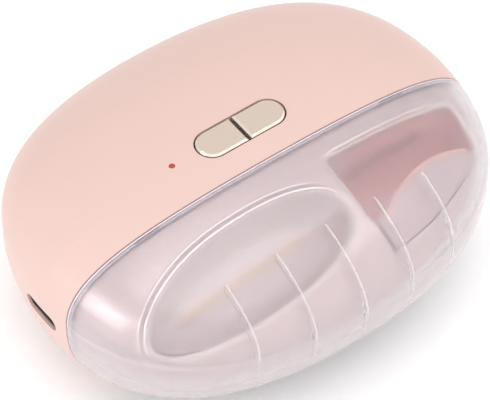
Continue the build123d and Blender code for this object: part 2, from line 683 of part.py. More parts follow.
with BuildPart() as cutter_bushes:
    for bush_x in BUSH_X:
        add(rod(BUSH_RADIUS, bush_x, bush_x + BUSH_LENGTH, CUTTER_Y, CUTTER_Z))
        add(
            rod(CUTTER_SHAFT_RADIUS + RUNNING, bush_x - 1, bush_x + 4, CUTTER_Y, CUTTER_Z),
            mode=Mode.SUBTRACT,
        )
save("cutter_bushes", cutter_bushes)

# ------------------------------------------------------------------ chassis
deck_top = DECK_Z + DECK_THICKNESS
with BuildPart() as chassis:
    # deck
    add(pebble(DECK_INSET) & block((-60, SEAM_Y + 1.6, DECK_Z), (60, 60, deck_top)))
    # gear plate on the motor's face, standing on the deck
    with BuildSketch(Plane.YZ.offset(PLATE_X[0])):
        with Locations(*GEARBOX_LUGS):
            Circle(LUG_RADIUS)
        with Locations((CUTTER_Y, CUTTER_Z)):
            Circle(BUSH_RADIUS + 1)
        with Locations((MOTOR_Y - 1, deck_top)):
            Rectangle(15, 2)
        make_hull()
    extrude(amount=PLATE)
    for y, z in GEARBOX_LUGS:
        add(rod(LUG_RADIUS, PLATE_X[0], PLATE_X[1] - RUNNING, y, z))
    # bracket of the right-hand bush
    bracket = block((BUSH_X[1], -9.4, DECK_Z), (BUSH_X[1] + BUSH_LENGTH, -1.6, CUTTER_Z))
    add(bracket & pebble(LINER_INSET + PART_GAP))
    add(rod(BUSH_RADIUS + 1.4, BUSH_X[1], BUSH_X[1] + BUSH_LENGTH, CUTTER_Y, CUTTER_Z))
    # cradles of the battery cell, the motor and the charging board
    for cradle_x in (-18, 14.5):
        low = (cradle_x, CELL_Y - CELL_RADIUS - 1.6, DECK_Z)
        high = (cradle_x + 3.5, CELL_Y + 4.0, CELL_Z - 1)
        add(block(low, high) & pebble(DECK_INSET))
    add(block((-12, MOTOR_Y - 6, DECK_Z), (-9, MOTOR_Y + 6, MOTOR_Z - 3)))
    board_pad_z = charge_top_z - BOARD_THICKNESS
    board_pad = block((-33, PORT_Y - 6, DECK_Z), (-31, PORT_Y + 6, board_pad_z))
    add(board_pad & pebble(DECK_INSET))
    # pilot bosses of the base screws
    for x, y in BASE_SCREWS:
        add(post(2.2, x, y, DECK_Z, DECK_Z + 3.8))
        add(post(PILOT_RADIUS, x, y, DECK_Z - 1, DECK_Z + 3.2), mode=Mode.SUBTRACT)
    # seats and holes
    add(rod(CELL_RADIUS + PART_GAP, -30, 30, CELL_Y, CELL_Z), mode=Mode.SUBTRACT)
    add(rod(MOTOR_RADIUS + PART_GAP, -30, MOTOR_X[1] + 0.02, MOTOR_Y, MOTOR_Z), mode=Mode.SUBTRACT)
    add(rod(2.45, 0, 6, MOTOR_Y, MOTOR_Z), mode=Mode.SUBTRACT)
    add(rod(IDLER_PIN_RADIUS, 0, 6, IDLER_Y, IDLER_Z), mode=Mode.SUBTRACT)
    add(rod(BUSH_RADIUS, 30, 40, CUTTER_Y, CUTTER_Z), mode=Mode.SUBTRACT)
    for y, z in GEARBOX_LUGS:
        add(rod(PILOT_RADIUS, PLATE_X[1] - 5.2, 12, y, z), mode=Mode.SUBTRACT)
    for x, y in POSTS:
        add(post(SCREW_RADIUS + PART_GAP, x, y, DECK_Z - 1, DECK_Z + 3), mode=Mode.SUBTRACT)
save("chassis", chassis)

with BuildPart() as gearbox_cover:
    with BuildSketch(Plane.YZ.offset(PLATE_X[1])):
        with Locations(*GEARBOX_LUGS):
            Circle(LUG_RADIUS)
        with Locations((CUTTER_Y, CUTTER_Z)):
            Circle(BUSH_RADIUS + 1)
        make_hull()
        with Locations(*GEARBOX_LUGS):
            Circle(SCREW_RADIUS, mode=Mode.SUBTRACT)
        with Locations((CUTTER_Y, CUTTER_Z)):
            Circle(BUSH_RADIUS, mode=Mode.SUBTRACT)
        with Locations((IDLER_Y, IDLER_Z)):
            Circle(IDLER_PIN_RADIUS, mode=Mode.SUBTRACT)
    extrude(amount=PLATE)
save("gearbox_cover", gearbox_cover)


# ------------------------------------------------------------------- screws
def screw(shank_length):
    """A cross-recessed screw along +Z, its head's underside at the origin."""
    with BuildPart() as one:
        with Locations((0, 0, -SCREW_HEAD)):
            Cylinder(SCREW_HEAD_RADIUS, SCREW_HEAD, align=(Align.CENTER, Align.CENTER, Align.MIN))
        chamfer(one.edges().sort_by(Axis.Z)[0], 0.25)
        Cylinder(SHANK_RADIUS, shank_length, align=(Align.CENTER, Align.CENTER, Align.MIN))
        with BuildSketch(Plane.XY.offset(-SCREW_HEAD)):
            Rectangle(2.0, 0.5)
            Rectangle(0.5, 2.0)
        extrude(amount=0.6, mode=Mode.SUBTRACT)
    return one.part


base_screw = screw(DECK_Z + 3.0 - BASE_HEAD_Z)
with BuildPart() as base_screws:
    for x, y in BASE_SCREWS:
        add(Pos(x, y, BASE_HEAD_Z) * base_screw)
save("base_screws", base_screws)

chassis_screw = screw(DECK_THICKNESS + 5.0)
with BuildPart() as chassis_screws:
    for x, y in POSTS:
        add(Pos(x, y, DECK_Z) * chassis_screw)
save("chassis_screws", chassis_screws)

board_screw = screw(BOARD_THICKNESS + 2.6)
with BuildPart() as board_screws:
    for x, y in BOARD_POSTS:
        add(Pos(x, y, MAIN_BOARD_TOP_Z - BOARD_THICKNESS) * board_screw)
save("board_screws", board_screws)

gearbox_screw = screw(PLATE + 4.6)
with BuildPart() as gearbox_screws:
    for y, z in GEARBOX_LUGS:
        add(Pos(PLATE_X[1] + PLATE, y, z) * Rot(0, -90, 0) * gearbox_screw)
save("gearbox_screws", gearbox_screws)


# -------------------------------------------------------------------- leads
def lead(points, bend):
    """An insulated wire through the points, with round bends."""
    with BuildPart() as wire:
        with BuildLine() as route:
            FilletPolyline(*points, radius=bend)
        with BuildSketch(Plane(origin=route.line @ 0, z_dir=route.line % 0)):
            Circle(LEAD_RADIUS)
        sweep()
    return wire.part


board_under_z = MAIN_BOARD_TOP_Z - BOARD_THICKNESS - RUNNING
motor_wires = [
    lead(
        [
            (MOTOR_X[0] - 1.3, lead_y, MOTOR_Z + 3.35),
            (MOTOR_X[0] - 1.3, lead_y, 22),
            (MOTOR_X[0] + 3.2, lead_y, 27.5),
            (MOTOR_X[0] + 3.2, lead_y, board_under_z),
        ],
        2.5,
    )
    for lead_y in (MOTOR_Y - 4.6, MOTOR_Y + 4.6)
]
with BuildPart() as motor_leads:
    add(motor_wires)
save("motor_leads", motor_leads)

cell_end_x = -CELL_LENGTH / 2 - RUNNING
battery_wires = [
    lead(
        [
            (cell_end_x, CELL_Y - 2, CELL_Z + rise),
            (cell_end_x - 3.5, CELL_Y - 2, CELL_Z + rise),
            (-34 - shift, 16.5, 23.5),
            (-34 - shift, PORT_Y + 5.5, 24.5),
            (-34 - shift, PORT_Y + 5.5, charge_top_z + RUNNING),
        ],
        1.8,
    )
    for rise, shift in ((2.0, 0.0), (-2.0, 2.2))
]
with BuildPart() as battery_leads:
    add(battery_wires)
save("battery_leads", battery_leads)
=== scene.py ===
import json
import math

import bmesh
import bpy
import numpy as np
from mathutils import Matrix, Quaternion, Vector
from mathutils.bvhtree import BVHTree


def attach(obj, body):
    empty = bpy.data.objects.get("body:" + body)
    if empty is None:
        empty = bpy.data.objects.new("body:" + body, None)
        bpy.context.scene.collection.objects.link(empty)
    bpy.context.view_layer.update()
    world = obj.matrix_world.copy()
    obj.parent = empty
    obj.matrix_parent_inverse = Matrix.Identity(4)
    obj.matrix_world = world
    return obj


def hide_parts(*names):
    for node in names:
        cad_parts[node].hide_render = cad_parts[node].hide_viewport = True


# Electric nail clipper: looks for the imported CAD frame.  The dust cover, the front
# frame, the bowl with its lining and the finger rest are rebuilt from the same form as
# the CAD, in millimetres, and scaled to metres when their objects are made.  X runs
# along the body, -Y is the front, where the cover comes off, and Z is up.

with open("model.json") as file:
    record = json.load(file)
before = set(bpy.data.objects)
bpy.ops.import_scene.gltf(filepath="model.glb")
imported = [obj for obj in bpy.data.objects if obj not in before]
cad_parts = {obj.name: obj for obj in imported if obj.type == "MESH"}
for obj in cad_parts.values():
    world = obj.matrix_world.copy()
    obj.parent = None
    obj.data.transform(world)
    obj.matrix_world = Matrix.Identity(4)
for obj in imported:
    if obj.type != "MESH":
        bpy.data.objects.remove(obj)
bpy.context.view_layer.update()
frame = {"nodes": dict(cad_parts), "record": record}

MM = 0.001
NODES = frame["nodes"]
COLLECTION = bpy.context.scene.collection
UPRIGHT = Vector((0, 0, 1))
FORWARDS = Vector((0, -1, 0))         # the way the cover slides off
HIGH = 40.0                           # a height above every surface, to look down from

# ------------------------------------------------------------------ body form
HALF_LENGTH = 46.0
HALF_DEPTH = 36.8
EQUATOR = 25.4                        # height of the widest outline
TOP_RISE = 16.0
BOTTOM_DROP = 26.5
PLAN_WEIGHT = 0.96                    # weights of the rational patches
END_WEIGHT = {1: 1.4, -1: 1.3}        # top half, bottom half
SIDE_WEIGHT = {1: 0.86, -1: 0.78}

# ----------------------------------------------------------------- dust cover
COVER_WALL = 1.5
COVER_REAR_Y = -7.4
COVER_EASE = 0.32                     # rounding of the rear rim

RIB_XS = (-22.3, -11.3, -0.3, 10.7, 21.7)
RIB_HALF = 0.55
RIB_HEIGHT = 0.36
RIB_START_Y = -24.0
RIB_FADE_Z = (20.0, 34.0)             # a rib sinks into the cover between these heights
RIB_ROOT_Z = EQUATOR - 8              # the ribs rise away from a point on the Z axis
# The strip beside each rib's crest is a painted highlight: a paler, less clear finish on that
# side of the rib.
RIB_SHEEN_SPAN = (0.05, RIB_HALF * 0.9)        # the lighter strip right of a rib's crest

TAB_X = 27.3
TAB_HALF = 2.7
TAB_Y = (-7.6, -6.25)
TAB_INSET = (1.1, 1.7)

# ---------------------------------------------------------------- front frame
FRAME_INSET = 2.0
FRAME_WALL = 1.5
FRAME_FLOOR_Z = 2.0
FRAME_REAR_Y = -3.2
LINER_INSET = 3.6
SKIRT_CUT = ((-60, -7.1, -1), (60, 1, 8.3))           # below the deck, behind the seam
PORT_CUT = ((-60, -7.1, 16.4), (-30, 1, 26.4))        # round the charging port

BOWL_CENTRE = Vector((-15.6, -22.9, 35.2))            # middle of the bowl's mouth
BOWL_UP = Vector((-0.12, -0.5, 0.86)).normalized()
BOWL_ACROSS = BOWL_UP.cross(Vector((1, 0, 0.14))).normalized()
BOWL_ALONG = BOWL_ACROSS.cross(BOWL_UP)
BOWL_HALF = (21.6, 8.2)
BOWL_FLOOR_HALF = (16.5, 4.6)
BOWL_DEPTH = 11.0
BOWL_WALL = 1.2
BOWL_FILLET = 1.3
BOWL_DROP = 5.0                       # how far the mouth follows the form down
BOWL_STEPS = 220                      # points round the outline
BOWL_CUT_DEPTHS = (14, 11, 10, 9, 8, 7, 6.4)
MAT_THICKNESS = 0.45
MAT_TOP = 3.4                         # depth of the lining's upper edge
MAT_GAP = 0.05
LINING_BEAD_HALF = 15.6
LINING_BEAD_RADIUS = 0.6
# The arch's lines are painted light and shade: the first and last are light, as highlights, and
# the middle one is dark, as shade.
ARCH_LINES = (                        # name, distance from the mouth, radius, first step
    ("arch_highlight_bead", 1.0, 0.38, 8), ("arch_shade_line", 1.6, 0.22, 12), ("arch_highlight_line", 2.1, 0.30, 18),
)
ARCH_END = 112                        # step at which the arch's lines end
ARCH_SINK = 0.06                      # how far the lines' middles lie under the skin
ARCH_FOOT_Z = 13.0                    # the bead alone goes on down to here

SLOT_LEFT_X = 8.8
SLOT_RIGHT_X = 37.2
SLOT_REAR_Y = -12.2
SLOT_FRONT_LEFT_Y = -27.0
SLOT_FRONT_RIGHT_Y = -21.5
SLOT_CREST = (23.0, -21.4)
SLOT_BOTTOM_Z = 16.0
SLOT_CORNER = 1.6
SLOT_FILLET = 0.9
SLOT_BEAD_RADIUS = 0.55
SLOT_BEAD_SINK = 0.18

REST_LEFT = (9.0, -31.9)
REST_MIDDLE = (21.0, -29.8)
REST_RIGHT = (35.6, -22.4)
REST_LIP = 0.6
REST_DEPTH = 0.8
REST_BEAD_RADIUS = 0.6
REST_BEAD_SINK = 0.25


# -------------------------------------------------------------- form, in numpy
def bernstein(t):
    return (1 - t) ** 2, 2 * t * (1 - t), t ** 2


def patch(u, v, inset, half):
    """Points of an eighth of the form: u from the middle to the tip, v from belt to crown."""
    end, side = END_WEIGHT[half], SIDE_WEIGHT[half]
    height = (TOP_RISE if half > 0 else BOTTOM_DROP) - inset
    w = [[1, side, 1], [PLAN_WEIGHT, side * (PLAN_WEIGHT + end) / 2, end], [1, side, 1]]
    bu, bv = bernstein(u), bernstein(v)
    term = [[w[i][j] * bu[i] * bv[j] for j in range(3)] for i in range(3)]
    total = sum(sum(row) for row in term)
    x = (HALF_LENGTH - inset) * (sum(term[1]) + sum(term[2])) / total
    y = (HALF_DEPTH - inset) * (term[0][0] + term[0][1] + term[1][0] + term[1][1]) / total
    z = height * (term[0][1] + term[0][2] + term[1][1] + term[1][2]) / total
    return x, y, z * half


def quarter_ring(x, v, inset, half, halvings=32):
    """The form's y and z at station x, for an array of v."""
    low, high = np.zeros_like(v), np.ones_like(v)
    for _ in range(halvings):
        mid = (low + high) / 2
        below = patch(mid, v, inset, half)[0] < abs(x)
        low, high = np.where(below, mid, low), np.where(below, high, mid)
    return patch(low, v, inset, half)[1:]


def form_mesh(inset, along=110, over=64, under=40, extra=(), lift=None):
    """The closed form as a bmesh of rings about X. lift may change the rings' points."""
    up, down = np.linspace(0, 1, over + 1), np.linspace(0, 1, under + 1)
    reach = HALF_LENGTH - inset
    base = reach * np.sin(np.linspace(-np.pi / 2, np.pi / 2, along + 2)[1:-1])
    stations = sorted(set(np.round(np.concatenate([base, list(extra)]), 4)))
    rings = []
    for x in stations:
        yt, zt = quarter_ring(x, up, inset, 1)
        yb, zb = quarter_ring(x, down, inset, -1)
        y = np.concatenate([-yt, yt[-2::-1], yb[1:], -yb[-2:0:-1]])
        z = np.concatenate([zt, zt[-2::-1], zb[1:], zb[-2:0:-1]])
        rings.append(np.stack([np.full_like(y, x), y, z + EQUATOR], 1))
    rings = np.array(rings)
    if lift:
        rings = lift(rings)
    bm = bmesh.new()
    grid = [[bm.verts.new(p) for p in ring] for ring in rings]
    tips = [bm.verts.new((side * reach, 0, EQUATOR)) for side in (-1, 1)]
    around = len(grid[0])
    for i in range(around):
        j = (i + 1) % around
        for a, b in zip(grid, grid[1:]):
            bm.faces.new((a[i], a[j], b[j], b[i]))
        bm.faces.new((grid[0][j], grid[0][i], tips[0]))
        bm.faces.new((grid[-1][i], grid[-1][j], tips[1]))
    bmesh.ops.recalc_face_normals(bm, faces=bm.faces)
    return bm


class Ground:
    """The form at some inset, to find its height along a direction."""

    def __init__(self, inset):
        bm = form_mesh(inset)
        self.tree = BVHTree.FromBMesh(bm)
        bm.free()

    def under(self, point, up=UPRIGHT, rise=60):
        """Where a line from high above the point, against up, first meets the form."""
        found = self.tree.ray_cast(Vector(point) + up * rise, -up)[0]
        return found if found else Vector(point)


# ------------------------------------------------------------------ mesh tools
def cut(bm, point, normal, fill=False):
    """Keeps the side of a plane that the normal points to, with a flat face if filled."""
    geom = bm.verts[:] + bm.edges[:] + bm.faces[:]
    made = bmesh.ops.bisect_plane(
        bm, geom=geom, plane_co=point, plane_no=normal, clear_inner=True, dist=1e-4
    )
    if fill:
        rim = [e for e in made["geom_cut"] if isinstance(e, bmesh.types.BMEdge)]
        bmesh.ops.contextual_create(bm, geom=rim)


def ease_rim(bm, point, normal, radius, sign, slices=5):
    """Rounds the skin towards a cut: slices it near the plane and moves the slices in."""
    for step in range(1, slices + 1):
        away = radius * (1 - math.cos(step * math.pi / 2 / slices))
        geom = bm.verts[:] + bm.edges[:] + bm.faces[:]
        bmesh.ops.bisect_plane(
            bm, geom=geom, plane_co=point + normal * away, plane_no=normal, dist=1e-4
        )
    bm.normal_update()
    for v in bm.verts:
        gap = radius - max(0.0, (v.co - point).dot(normal))
        if gap > 0:
            inward = v.normal - normal * v.normal.dot(normal)
            v.co -= sign * inward.normalized() * (radius - math.sqrt(radius ** 2 - gap ** 2))


def join_skins(outer, inner):
    """Joins an open outer and an open inner skin into one closed wall."""
    bmesh.ops.reverse_faces(inner, faces=inner.faces)
    spare = bpy.data.meshes.new("spare")
    inner.to_mesh(spare)
    outer.from_mesh(spare)
    bpy.data.meshes.remove(spare)
    inner.free()
    bmesh.ops.bridge_loops(outer, edges=[e for e in outer.edges if len(e.link_faces) == 1])
    bmesh.ops.recalc_face_normals(outer, faces=outer.faces)
    return outer


def shade(bm, sharp):
    """Smooth shading, with sharp edges where faces meet at more than so many degrees."""
    for f in bm.faces:
        f.smooth = True
    for e in bm.edges:
        folded = len(e.link_faces) == 2 and e.calc_face_angle(0) > math.radians(sharp)
        e.smooth = not folded


def mesh_object(name, bm, sharp=40):
    """Turns a bmesh in millimetres into an object in metres."""
    shade(bm, sharp)
    bmesh.ops.transform(bm, matrix=Matrix.Scale(MM, 4), verts=bm.verts)
    mesh = bpy.data.meshes.new(name)
    bm.to_mesh(mesh)
    bm.free()
    obj = bpy.data.objects.new(name, mesh)
    COLLECTION.objects.link(obj)
    return obj


def carve(obj, cutters, operation="DIFFERENCE", sharp=35):
    """Takes closed bmeshes in millimetres out of an object, or keeps what it shares with
    them. The new faces keep the bmeshes' material indices."""
    bpy.context.view_layer.objects.active = obj
    for cutter in cutters:
        tool = mesh_object("tool", cutter)
        modifier = obj.modifiers.new("cut", "BOOLEAN")
        modifier.operation = operation
        modifier.solver = "EXACT"
        modifier.object = tool
        bpy.ops.object.modifier_apply(modifier="cut")
        bpy.data.objects.remove(tool)
    bm = bmesh.new()
    bm.from_mesh(obj.data)
    shade(bm, sharp)
    bm.to_mesh(obj.data)
    bm.free()


def skin(loops, finish=0):
    """A capped skin through closed loops of the same number of points."""
    bm = bmesh.new()
    rows = [[bm.verts.new(p) for p in loop] for loop in loops]
    count = len(rows[0])
    for a, b in zip(rows, rows[1:]):
        for i in range(count):
            j = (i + 1) % count
            bm.faces.new((a[i], a[j], b[j], b[i]))
    bm.faces.new(rows[0][::-1])
    bm.faces.new(rows[-1])
    for f in bm.faces:
        f.material_index = finish
    bmesh.ops.recalc_face_normals(bm, faces=bm.faces)
    return bm


def slab(low, high):
    """A closed piece between two sheets, each a grid of points."""
    bm = bmesh.new()
    for sheet in (low, high):
        rows = [[bm.verts.new(p) for p in row] for row in sheet]
        for a, b in zip(rows, rows[1:]):
            for i in range(len(a) - 1):
                bm.faces.new((a[i], a[i + 1], b[i + 1], b[i]))
    bmesh.ops.bridge_loops(bm, edges=[e for e in bm.edges if len(e.link_faces) == 1])
    bmesh.ops.remove_doubles(bm, verts=bm.verts, dist=1e-4)
    bmesh.ops.recalc_face_normals(bm, faces=bm.faces)
    return bm


def box_mesh(low, high):
    bm = bmesh.new()
    size = Vector(high) - Vector(low)
    middle = (Vector(high) + Vector(low)) / 2
    matrix = Matrix.Translation(middle) @ Matrix.Diagonal((*size, 1))
    bmesh.ops.create_cube(bm, size=1, matrix=matrix)
    return bm


def ease_edges(obj, width):
    bevel = obj.modifiers.new("ease", "BEVEL")
    bevel.width = width * MM
    bevel.segments = 3
    bevel.limit_method = "ANGLE"
    bevel.angle_limit = math.radians(50)


# -------------------------------------------------------------------- outlines
def grow(points, amount):
    """A closed counter-clockwise outline, moved outwards."""
    ahead = np.roll(points, -1, 0) - np.roll(points, 1, 0)
    normal = np.stack([ahead[:, 1], -ahead[:, 0]], 1)
    return points + normal / np.linalg.norm(normal, axis=1)[:, None] * amount


def arc_through(p, q, r, count):
    """Points on the circle through three points, from p by way of q to r."""
    a, b, c = (complex(*point) for point in (p, q, r))
    w = (c - a) / (b - a)
    centre = (b - a) * (w - abs(w) ** 2) / (w - w.conjugate()) + a
    radius = abs(a - centre)
    start, middle, end = (math.atan2((k - centre).imag, (k - centre).real) for k in (a, b, c))
    turn = (end - start) % (2 * math.pi)
    if (middle - start) % (2 * math.pi) > turn:
        turn -= 2 * math.pi
    t = start + turn * np.linspace(0, 1, count)
    return np.stack([centre.real + radius * np.cos(t), centre.imag + radius * np.sin(t)], 1)


def softened(points, radius, count=240):
    """The closed outline with even spacing and its corners rounded."""
    closed = np.concatenate([points, points[:1]])
    run = np.concatenate([[0], np.cumsum(np.linalg.norm(np.diff(closed, axis=0), axis=1))])
    want = np.linspace(0, run[-1], count, endpoint=False)
    even = np.stack([np.interp(want, run, closed[:, k]) for k in (0, 1)], 1)
    reach = max(1, round(radius / (run[-1] / count) / 2))
    for _ in range(3):
        even = sum(np.roll(even, k, 0) for k in range(-reach, reach + 1)) / (2 * reach + 1)
    return even


def slot_outline():
    front = arc_through(
        (SLOT_LEFT_X, SLOT_FRONT_LEFT_Y), SLOT_CREST,
        (SLOT_RIGHT_X - 0.6, SLOT_FRONT_RIGHT_Y), 60,
    )
    rear = [(SLOT_RIGHT_X, SLOT_REAR_Y), (SLOT_LEFT_X, SLOT_REAR_Y)]
    return softened(np.concatenate([front, rear]), SLOT_CORNER)


def on_frame(place):
    """The point of the frame's skin above or below a place in plan."""
    return grounds[FRAME_INSET].under((*place, HIGH))


def rest_sheet(level, shrink):
    """Grid of the finger rest's crescent on the frame's skin, raised by level.

    A shrink above 0 draws the long sides in and leaves out the thin ends."""
    front = arc_through(REST_LEFT, REST_MIDDLE, REST_RIGHT, 61)
    rear = arc_through(
        (SLOT_LEFT_X, SLOT_FRONT_LEFT_Y - REST_LIP),
        (SLOT_CREST[0], SLOT_CREST[1] - REST_LIP), REST_RIGHT, 61,
    )
    rows = []
    for t in np.linspace(shrink, 1 - shrink, 9):
        row = front * (1 - t) + rear * t
        kept = row[2:-3] if shrink else row
        rows.append([on_frame(p) + UPRIGHT * level for p in kept])
    return rows


def bowl_outline(half_along, half_across):
    """An egg: fuller at its right end, and drooping a little at its left."""
    t = np.linspace(0, 2 * np.pi, BOWL_STEPS, endpoint=False)
    c, s = np.cos(t), np.sin(t)
    full = np.where(c > 0, 0.8, 1.03)
    u = half_along * np.sign(c) * np.abs(c) ** np.where(c > 0, 0.88, 1.0)
    v = half_across * np.sign(s) * np.abs(s) ** full
    return np.stack([u, v - 0.9 * (u / half_along) ** 2 * (c < 0)], 1)


def bowl_point(uv, depth=0.0):
    """A place in the bowl, from its own coordinates across the mouth and down."""
    return BOWL_CENTRE + BOWL_ALONG * uv[0] + BOWL_ACROSS * uv[1] - BOWL_UP * depth


def bowl_loop(depth, wall=0.0, shrink=1.0):
    """A level line of the bowl's hollow, or with a wall of its outside."""
    sink = min(max(depth, 0) / BOWL_DEPTH, 1) ** 2.5
    size = [top + (low - top) * sink + wall for top, low in zip(BOWL_HALF, BOWL_FLOOR_HALF)]
    return [bowl_point(p, depth) for p in bowl_outline(*size) * shrink]


def mouth_cutter(outline, place, up, below, fillet, finish, drop=math.inf):
    """A cutter along up, whose mouth flares round where it comes out of the frame.

    below is the cutter's loops under the mouth, and drop is the furthest that the mouth
    goes below the outline's own plane."""
    def at(points, level):
        loop = []
        for start in map(place, points):
            fall = (start - grounds[FRAME_INSET].under(start, up)).dot(up)
            loop.append(start + up * (level - min(fall, drop)))
        return loop

    loops = list(below)
    for step in range(9):
        angle = math.radians(step * 10)
        out, down = fillet * (1 - math.cos(angle)), fillet * (1 - math.sin(angle))
        loops.append(at(grow(outline, out), -down))
    loops.append(at(grow(outline, fillet * 1.15), 0.12))
    loops.append([p + up * 6 for p in loops[-1]])
    return skin(loops, finish)


# ------------------------------------------------------------------ materials
COLOUR_A, COLOUR_B, COLOUR_RESULT = 6, 7, 2           # a mix node's colour sockets


class Nodes:
    """A small helper for a material's node tree."""

    def __init__(self, name):
        self.material = bpy.data.materials.new(name)
        self.material.use_nodes = True
        self.tree = self.material.node_tree
        self.shader = self.tree.nodes["Principled BSDF"]
        self.place = self.add("ShaderNodeTexCoord").outputs["Object"]

    def add(self, kind, **settings):
        node = self.tree.nodes.new(kind)
        for key, value in settings.items():
            setattr(node, key, value)
        return node

    def link(self, source, target):
        self.tree.links.new(source, target)

    def put(self, **values):
        for key, value in values.items():
            self.shader.inputs[key.replace("_", " ")].default_value = value

    def noise(self, size, detail=2.0, stretch=None):
        """A noise whose cells are about so many millimetres."""
        node = self.add("ShaderNodeTexNoise")
        node.inputs["Scale"].default_value = 1 / (size * MM)
        node.inputs["Detail"].default_value = detail
        source = self.place
        if stretch:
            mapping = self.add("ShaderNodeMapping")
            mapping.inputs["Scale"].default_value = stretch
            self.link(self.place, mapping.inputs["Vector"])
            source = mapping.outputs["Vector"]
        self.link(source, node.inputs["Vector"])
        return node.outputs["Fac"]

    def remap(self, value, low, high, source=(0.3, 0.7)):
        node = self.add("ShaderNodeMapRange")
        node.inputs["From Min"].default_value, node.inputs["From Max"].default_value = source
        node.inputs["To Min"].default_value, node.inputs["To Max"].default_value = low, high
        self.link(value, node.inputs["Value"])
        return node.outputs["Result"]

    def blend(self, factor, first, second):
        """A colour between two, each a colour or another node's output."""
        node = self.add("ShaderNodeMix", data_type="RGBA")
        for socket, value in ((COLOUR_A, first), (COLOUR_B, second)):
            if isinstance(value, tuple):
                node.inputs[socket].default_value = (*value, 1)
            else:
                self.link(value, node.inputs[socket])
        self.link(factor, node.inputs["Factor"])
        return node.outputs[COLOUR_RESULT]

    def axis(self, letter, low, high):
        """0 to 1 between two places in millimetres along an axis, smoothly."""
        split = self.add("ShaderNodeSeparateXYZ")
        self.link(self.place, split.inputs[0])
        node = self.add("ShaderNodeMapRange", interpolation_type="SMOOTHSTEP")
        node.inputs["From Min"].default_value = low * MM
        node.inputs["From Max"].default_value = high * MM
        self.link(split.outputs[letter], node.inputs["Value"])
        return node.outputs["Result"]

    def bump(self, source, depth):
        """Relief from a height source, so many millimetres deep."""
        node = self.add("ShaderNodeBump")
        node.inputs["Strength"].default_value = 1.0
        node.inputs["Distance"].default_value = depth * MM
        self.link(source, node.inputs["Height"])
        self.link(node.outputs["Normal"], self.shader.inputs["Normal"])

    def colour(self, source):
        self.link(source, self.shader.inputs["Base Color"])

    def rough(self, source):
        self.link(source, self.shader.inputs["Roughness"])

    def clear(self, source):
        self.link(source, self.shader.inputs["Transmission Weight"])


def tint(colour, factor):
    return tuple(min(1.0, c * factor) for c in colour)


def surface(name, colour, rough, metallic=0.0, grain=0.25, depth=0.004, mottle=6.0,
            variation=0.03, stretch=None, turn=None):
    """Plastic, rubber, paint or metal: broad mottling, varied gloss and a fine grain.

    turn is an axis, two places along it and the colour it turns into between them."""
    n = Nodes(name)
    n.put(Metallic=metallic)
    broad = n.noise(mottle, 3.0)
    if turn:
        n.colour(n.blend(n.axis(*turn[:3]), colour, turn[3]))
    else:
        n.colour(n.blend(broad, tint(colour, 1 - variation), tint(colour, 1 + variation)))
    n.rough(n.remap(broad, rough * 0.93, rough * 1.07))
    n.bump(n.noise(grain, 2.0, stretch), depth)
    return n


def pink_plastic():
    n = surface("pink_plastic", (0.63, 0.445, 0.40), 0.42, grain=0.16, depth=0.0035,
                mottle=9.0, variation=0.012)
    n.put(Coat_Weight=0.12, Coat_Roughness=0.35)
    return n.material


def cover_plastic(name, colour, clear, rough):
    """Moulded clear plastic: clear is the share of light that goes through unscattered.

    The colour's output stays at hand as plain, so that another tint can build on it."""
    n = Nodes(name)
    n.put(Transmission_Weight=clear, IOR=1.46)
    haze = n.noise(7.0, 2.0)
    n.plain = n.blend(haze, tint(colour, 0.99), tint(colour, 1.01))
    n.colour(n.plain)
    n.rough(n.remap(haze, rough * 0.9, rough * 1.1))
    n.bump(n.noise(0.5, 2.0), 0.0008)
    return n


def clear_cover():
    """The cover's outside: clear from in front, and a lilac haze where it's seen edge on."""
    face_on, edge_on, edge_lilac = 0.97, 0.30, (0.66, 0.575, 0.585)
    n = cover_plastic("clear_cover", (0.975, 0.94, 0.96), face_on, 0.14)
    facing = n.add("ShaderNodeLayerWeight").outputs["Facing"]
    n.clear(n.remap(facing, face_on, edge_on, (0.35, 0.95)))
    n.colour(n.blend(n.remap(facing, 0.0, 1.0, (0.30, 0.75)), n.plain, edge_lilac))
    return n.material


def rib_sheen_strip():
    """A pale strip along a rib, a painted highlight, which turns clear towards the rib's foot.
    """
    n = cover_plastic("rib_sheen_strip", (0.86, 0.82, 0.84), 0.60, 0.24)
    n.clear(n.remap(n.axis("Z", 14, 30), 1.0, 0.60, (0.0, 1.0)))
    return n.material


def silver_paint():
    """Fine metal flakes: the gloss varies from flake to flake."""
    n = surface("silver_paint", (0.80, 0.685, 0.675), 0.3, metallic=0.5, grain=0.09,
                depth=0.0012, mottle=5.0, variation=0.02)
    n.rough(n.remap(n.noise(0.12, 1.0), 0.26, 0.34))
    n.put(Coat_Weight=0.2, Coat_Roughness=0.25)
    return n.material


def bowl_gloss():
    n = surface("bowl_gloss", (0.93, 0.86, 0.86), 0.2, grain=0.4,
                depth=0.0015, mottle=7.0, variation=0.02)
    n.put(Coat_Weight=0.5, Coat_Roughness=0.1)
    return n.material


def champagne():
    """Satin top with a brushed grain, and a polished bevel where the surface tilts."""
    n = Nodes("champagne")
    n.put(Metallic=0.75, Coat_Weight=0.2, Coat_Roughness=0.15)
    split = n.add("ShaderNodeSeparateXYZ")
    n.link(n.add("ShaderNodeNewGeometry").outputs["Normal"], split.inputs[0])
    flat = n.remap(split.outputs["Z"], 0.0, 1.0, (0.86, 0.97))
    n.colour(n.blend(flat, (0.80, 0.73, 0.64), (0.66, 0.55, 0.46)))
    n.rough(n.remap(flat, 0.10, 0.36, (0.0, 1.0)))
    n.bump(n.noise(0.5, 3.0, (0.15, 6, 6)), 0.0012)
    return n.material


def red_lens():
    n = surface("red_lens", (0.45, 0.05, 0.03), 0.25, grain=0.3, variation=0.05)
    n.put(Subsurface_Weight=0.3, Subsurface_Scale=0.0008)
    return n.material


